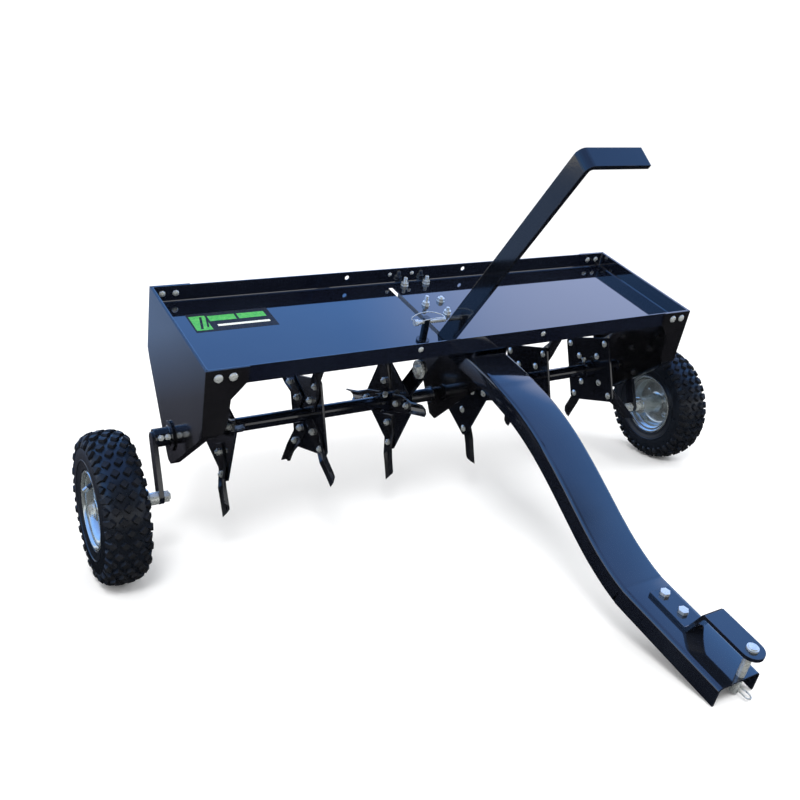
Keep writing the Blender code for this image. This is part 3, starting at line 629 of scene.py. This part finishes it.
# ---------------------------------------------------------------- tray graphic
LABEL_LOW, LABEL_HIGH = Vector((-0.4640, 0.0240)), Vector((-0.3180, 0.0880))
LABEL_LIFT = 0.00012
FILM = 0.00010
BLACK, PALE, GREEN = 0, 1, 2
LABEL = (  # left, low, right, high as shares of the label, layer, colour, slant
    (0.0, 0.0, 1.0, 1.0, 0, BLACK, 0.0),
    (0.020, 0.10, 0.210, 0.86, 1, GREEN, 0.0),
    (0.060, 0.16, 0.090, 0.80, 2, BLACK, 0.10),
    (0.135, 0.24, 0.158, 0.74, 2, BLACK, 0.10),
    (0.235, 0.54, 0.560, 0.82, 1, GREEN, 0.0),
    (0.590, 0.54, 0.930, 0.82, 1, GREEN, 0.0),
    (0.290, 0.24, 0.930, 0.34, 1, PALE, 0.0))


def tray_graphic():
    """A letterless label: black field, green block with two dark stripes, plain bars."""
    size = LABEL_HIGH - LABEL_LOW
    bm = bmesh.new()
    for u0, v0, u1, v1, level, look, slant in LABEL:
        z = DECK_Z + LABEL_LIFT + FILM * level
        points = [(LABEL_LOW.x + (u + slant * v) * size.x, LABEL_LOW.y + v * size.y)
                  for u, v in ((u0, v0), (u1, v0), (u1, v1), (u0, v1))]
        loops = [[(x, y, z - FILM) for x, y in points], [(x, y, z) for x, y in points]]
        rings(bm, loops, Matrix.Identity(4), True, look)
    looks = (print_film("label_black", (0.010, 0.010, 0.012), (0.018, 0.018, 0.020), 0.15),
             print_film("label_pale", (0.62, 0.66, 0.60), (0.74, 0.77, 0.70)),
             print_film("label_green", (0.045, 0.30, 0.040), (0.090, 0.42, 0.060)))
    piece("tray_label", bm, looks, "machine")


# ---------------------------------------------------------------- CAD nodes that stay
def dress_cad():
    by_slot = {"tray_paint": "deck", "panel_paint": "panel",
               "drawbar_paint": "drawbar", "lever_paint": "lever",
               "crank_paint": "black", "star_paint": "black", "tine_paint": "tine", "axle_steel": "steel",
               "zinc_hardware": "zinc", "rim_zinc": "zinc", "tyre_rubber": "carcass"}
    slots = {part["node"]: part["material_slot"] for part in frame["record"]["subparts"]}
    for name, obj in NODES.items():
        look = LOOK[by_slot[slots[name]]]
        for place in obj.material_slots:
            place.material = look


# ---------------------------------------------------------------- stage
SKY_LOW = (0.32, 0.60, 1.05)
SKY_MIDDLE = (0.27, 0.68, 1.60)
SKY_TOP = (0.20, 0.40, 1.00)
WARM_WAY = (0.70, 0.52, 0.49)
WARM_SPREAD = (0.93, 1.0)
WARM_SKY = (0.88, 1.06, 1.66)
FRONT_FADE = (-0.60, -0.25)
FRONT_SKY = (0.030, 0.035, 0.050)
SKY_RADIUS = 9.0
SKY_HEM = 0.2             # the dome starts this high
FLAG_HEIGHT = 0.0015
FLOOR_LEFT = (-0.52, -0.75)
FLOOR_FAR = 2.0           # where the floor that reflections see is palest
FLOOR_SEEN = ((0.22, (0.008, 0.008, 0.010)), (0.38, (0.080, 0.080, 0.100)),
              (0.60, (0.110, 0.120, 0.160)), (1.0, (0.24, 0.36, 0.62)))


def staged(obj):
    bpy.context.scene.collection.objects.link(obj)
    return obj


def floor():
    s = Shader("floor")
    colour = s.ramp(s.noise(1.5, 3.0), (0.3, (0.955, 0.955, 0.955)), (0.7, (0.965, 0.965, 0.965)))
    s.set(Base_Color=colour, Roughness=0.9, Specular_IOR_Level=0.1)
    bm = bmesh.new()
    bmesh.ops.create_grid(bm, x_segments=1, y_segments=1, size=40.0)
    mesh = bpy.data.meshes.new("floor")
    bm.to_mesh(mesh)
    bm.free()
    mesh.materials.append(s.material)
    staged(bpy.data.objects.new("floor", mesh))


def colour_ramp(tree, factor, stops):
    node = tree.nodes.new("ShaderNodeValToRGB")
    while len(node.color_ramp.elements) < len(stops):
        node.color_ramp.elements.new(0.5)
    for element, (place, colour) in zip(node.color_ramp.elements, stops):
        element.position = place
        element.color = (*colour, 1.0)
    tree.links.new(factor, node.inputs["Fac"])
    return node.outputs["Color"]


def blend(tree, factor, a, b):
    node = tree.nodes.new("ShaderNodeMix")
    node.data_type = 'RGBA'
    tree.links.new(factor, node.inputs[0])
    for socket, value in ((node.inputs[6], a), (node.inputs[7], b)):
        if isinstance(value, tuple):
            socket.default_value = (*value, 1.0)
        else:
            tree.links.new(value, socket)
    return node.outputs[2]


def smooth_step(tree, value, low, high):
    node = tree.nodes.new("ShaderNodeMapRange")
    node.interpolation_type = 'SMOOTHSTEP'
    node.inputs["From Min"].default_value = low
    node.inputs["From Max"].default_value = high
    tree.links.new(value, node.inputs["Value"])
    return node.outputs["Result"]


def card_material(name, build):
    """Emission whose colour is worked out from the place on the card."""
    material = bpy.data.materials.new(name)
    material.use_nodes = True
    tree = material.node_tree
    tree.nodes.clear()
    out = tree.nodes.new("ShaderNodeOutputMaterial")
    emission = tree.nodes.new("ShaderNodeEmission")
    tree.links.new(emission.outputs[0], out.inputs["Surface"])
    place = tree.nodes.new("ShaderNodeNewGeometry").outputs["Position"]
    tree.links.new(build(tree, place), emission.inputs["Color"])
    return material


def reflector(name, bm, material):
    """A card that only reflections see."""
    mesh = bpy.data.meshes.new(name)
    bm.to_mesh(mesh)
    bm.free()
    mesh.materials.append(material)
    obj = staged(bpy.data.objects.new(name, mesh))
    obj.visible_camera = False
    obj.visible_diffuse = False
    obj.visible_shadow = False
    obj.visible_transmission = False
    obj.visible_volume_scatter = False


def sky_dome():
    """A sky to be mirrored in the paint: blue overhead, dark in front, warm at the back right."""
    def build(tree, place):
        unit = tree.nodes.new("ShaderNodeVectorMath")
        unit.operation = 'NORMALIZE'
        tree.links.new(place, unit.inputs[0])
        parts = tree.nodes.new("ShaderNodeSeparateXYZ")
        tree.links.new(unit.outputs[0], parts.inputs[0])
        blue = colour_ramp(tree, parts.outputs["Z"], ((0.0, SKY_LOW), (0.45, SKY_MIDDLE), (1.0, SKY_TOP)))
        warm = tree.nodes.new("ShaderNodeVectorMath")
        warm.operation = 'DOT_PRODUCT'
        tree.links.new(unit.outputs[0], warm.inputs[0])
        warm.inputs[1].default_value = Vector(WARM_WAY).normalized()
        sky = blend(tree, smooth_step(tree, warm.outputs["Value"], *WARM_SPREAD), blue, WARM_SKY)
        return blend(tree, smooth_step(tree, parts.outputs["Y"], *FRONT_FADE), FRONT_SKY, sky)

    bm = bmesh.new()
    bmesh.ops.create_uvsphere(bm, u_segments=48, v_segments=24, radius=SKY_RADIUS)
    low = [v for v in bm.verts if v.co.z < SKY_HEM]
    bmesh.ops.delete(bm, geom=low, context='VERTS')
    reflector("sky_dome", bm, card_material("sky_glow", build))


def black_flag():
    """Dark floor that only reflections see; paler at the back left, for the end panel to mirror."""
    def build(tree, place):
        parts = tree.nodes.new("ShaderNodeSeparateXYZ")
        tree.links.new(place, parts.inputs[0])
        scaled = tree.nodes.new("ShaderNodeMath")
        scaled.operation = 'MULTIPLY'
        tree.links.new(parts.outputs["Y"], scaled.inputs[0])
        scaled.inputs[1].default_value = 1.0 / FLOOR_FAR
        far = colour_ramp(tree, scaled.outputs[0], FLOOR_SEEN)
        return blend(tree, smooth_step(tree, parts.outputs["X"], *FLOOR_LEFT), FLOOR_SEEN[0][1], far)

    bm = bmesh.new()
    corners = [(-SKY_RADIUS, -SKY_RADIUS), (SKY_RADIUS, -SKY_RADIUS),
               (SKY_RADIUS, SKY_RADIUS), (-SKY_RADIUS, SKY_RADIUS)]
    bm.faces.new([bm.verts.new((x, y, FLAG_HEIGHT)) for x, y in corners])
    reflector("black_flag", bm, card_material("flag_black", build))


def area_light(name, location, target, size, power, colour=(1, 1, 1), glossy=True):
    data = bpy.data.lights.new(name, 'AREA')
    data.shape = 'DISK'
    data.size = size
    data.energy = power
    data.color = colour
    obj = bpy.data.objects.new(name, data)
    obj.location = location
    obj.rotation_euler = (Vector(target) - Vector(location)).to_track_quat('-Z', 'Y').to_euler()
    obj.visible_camera = False
    obj.visible_glossy = glossy
    bpy.context.scene.collection.objects.link(obj)


def lights():
    world = bpy.data.worlds.new("studio")
    world.use_nodes = True
    world.node_tree.nodes["Background"].inputs["Color"].default_value = (1, 1, 1, 1)
    world.node_tree.nodes["Background"].inputs["Strength"].default_value = 1.15
    bpy.context.scene.world = world
    area_light("key", (-1.6, -2.2, 3.4), (0, 0.2, 0.3), 1.2, 90.0, (1, 1, 1), False)
    area_light("fill", (2.6, -1.4, 2.2), (0, 0.1, 0.3), 1.6, 35.0, (0.92, 0.96, 1.0), False)


# ---------------------------------------------------------------- camera
CAMERA_AT = (-0.9478, -1.3150, 0.7572)
CAMERA_AZIMUTH = -36.94
CAMERA_HEIGHT = 29.05
CAMERA_ROLL = 11.84
FOCAL_LENGTH = 42.92
SHIFT = (-0.0606, -0.0392)


def camera():
    """Camera at the photograph's viewing angle, given in the machine frame."""
    az, el, roll = radians(CAMERA_AZIMUTH), radians(CAMERA_HEIGHT), radians(CAMERA_ROLL)
    back = Vector((sin(az) * cos(el), -cos(az) * cos(el), sin(el)))
    right = Vector((cos(az), sin(az), 0.0))
    up = back.cross(right)
    level_right = right * cos(roll) + up * sin(roll)
    level_up = up * cos(roll) - right * sin(roll)
    turn = Matrix((level_right, level_up, back)).transposed().to_4x4()
    data = bpy.data.cameras.new("camera")
    data.lens = FOCAL_LENGTH
    data.sensor_width = 36.0
    data.shift_x, data.shift_y = SHIFT
    obj = bpy.data.objects.new("camera", data)
    obj.matrix_world = MACHINE @ Matrix.Translation(CAMERA_AT) @ turn
    bpy.context.scene.collection.objects.link(obj)
    bpy.context.scene.camera = obj


camera()
wheels()
drawbar()
tray_bolts()
deck_bolts()
star_bolts("left_rotor_bolts", "rotor_left", (0, 1, 2))
star_bolts("right_rotor_bolts", "rotor_right", (3, 4, 5))
crank_bolts()
tray_graphic()
dress_cad()
floor()
sky_dome()
black_flag()
lights()
bpy.context.scene.view_settings.view_transform = 'Standard'
